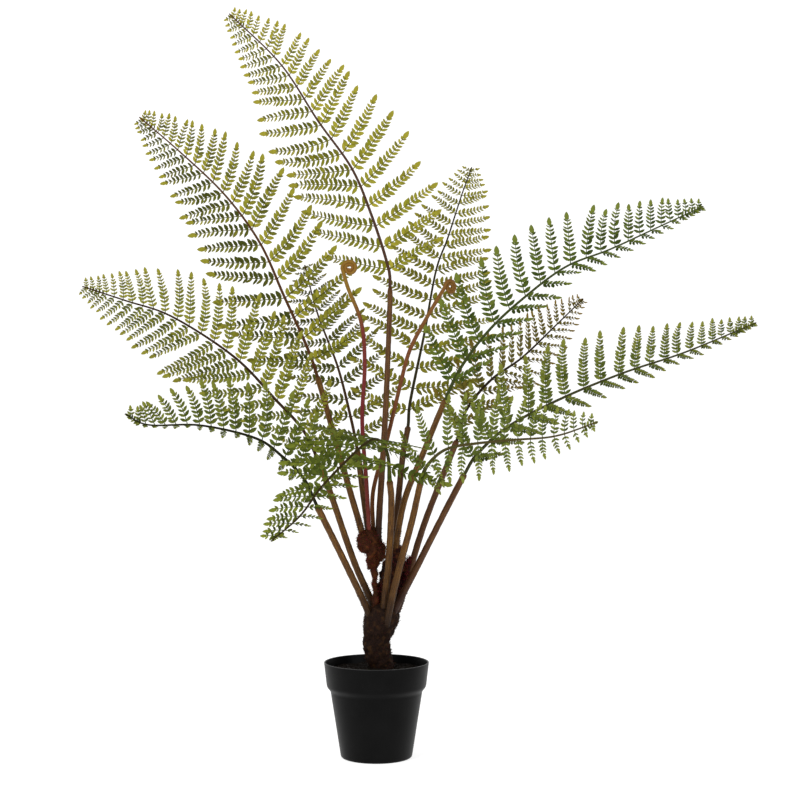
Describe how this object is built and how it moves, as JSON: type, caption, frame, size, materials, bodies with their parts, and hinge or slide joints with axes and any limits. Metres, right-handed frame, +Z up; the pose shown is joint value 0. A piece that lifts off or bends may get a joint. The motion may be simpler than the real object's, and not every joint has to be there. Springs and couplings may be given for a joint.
{
  "type": "potted fern",
  "caption": "Potted artificial fern: feathery fronds and two fiddleheads on brown stems that fan out of a hairy trunk, standing in a round tapered pot.",
  "frame": {"origin": "centre of the pot's flat base, on the surface that it stands on", "axes": "+Z up along the pot's axis; +X to the right and +Y to the back as the plant is seen from the front"},
  "size_m": [0.7902, 0.5758, 0.9226],
  "materials": {
    "pot_plastic": "black moulded plastic with a soft sheen and a fine grain",
    "cement": "rough cast cement",
    "soil": "near-black crumbs with specks of olive moss",
    "dark_hair": "matt dark brown flocked hair",
    "rusty_hair": "maroon and golden-brown flocked hair",
    "stem_brown": "mottled olive-brown moulded tube",
    "leaf_yellow_green": "moulded soft plastic, yellow-green with darker undersides",
    "leaf_deep_green": "moulded soft plastic, deep to mid green",
    "leaf_rusty_green": "moulded soft plastic, olive green touched with rust",
    "young_frond": "golden-orange coil on a maroon stem"
  },
  "bodies": {
    "root": {"pot": "pot_plastic", "filling": "cement", "soil": "soil", "trunk": "dark_hair", "crown_left": "rusty_hair", "crown_middle": "rusty_hair", "crown_right": "rusty_hair", "stem_centre_tall": "stem_brown", "stem_upper_left": "stem_brown", "stem_back_left": "stem_brown", "stem_left": "stem_brown", "stem_lower_left": "stem_brown", "stem_front_left": "stem_brown", "stem_upper_centre": "stem_brown", "stem_upper_right": "stem_brown", "stem_middle_right": "stem_brown", "stem_front_right": "stem_brown", "stem_right": "stem_brown", "frond_centre_tall": "leaf_yellow_green", "frond_upper_left": "leaf_yellow_green", "frond_back_left": "leaf_rusty_green", "frond_left": "leaf_yellow_green", "frond_lower_left": "leaf_deep_green", "frond_front_left": "leaf_deep_green", "frond_upper_centre": "leaf_yellow_green", "frond_upper_right": "leaf_deep_green", "frond_middle_right": "leaf_rusty_green", "frond_front_right": "leaf_deep_green", "frond_right": "leaf_deep_green", "fiddlehead_left": "young_frond", "fiddlehead_right": "young_frond"}
  },
  "joints": []
}
